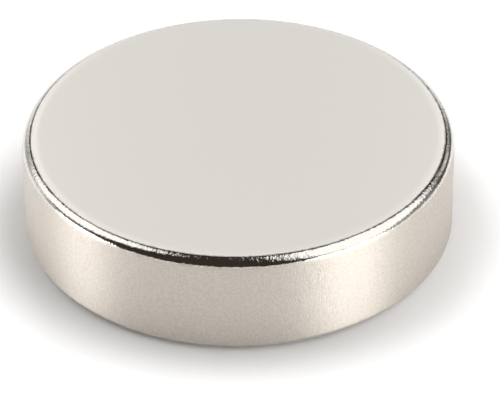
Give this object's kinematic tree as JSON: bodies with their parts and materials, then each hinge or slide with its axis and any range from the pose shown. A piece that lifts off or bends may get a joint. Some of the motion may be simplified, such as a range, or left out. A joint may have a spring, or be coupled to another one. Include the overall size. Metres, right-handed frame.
{
  "type": "disc magnet",
  "caption": "Flat round disc magnet with rounded edges, plated all over in satin nickel, which holds to steel by either face.",
  "frame": {"origin": "centre of the face that the disc rests on", "axes": "+Z is the disc's axis and its direction of magnetisation, pointing out of the upper face; the disc is round, so X and Y are any two directions across it"},
  "size_m": [0.02, 0.02, 0.005],
  "materials": {
    "nickel_plate": "satin"
  },
  "bodies": {
    "root": {"magnet_disc": "nickel_plate"}
  },
  "joints": []
}
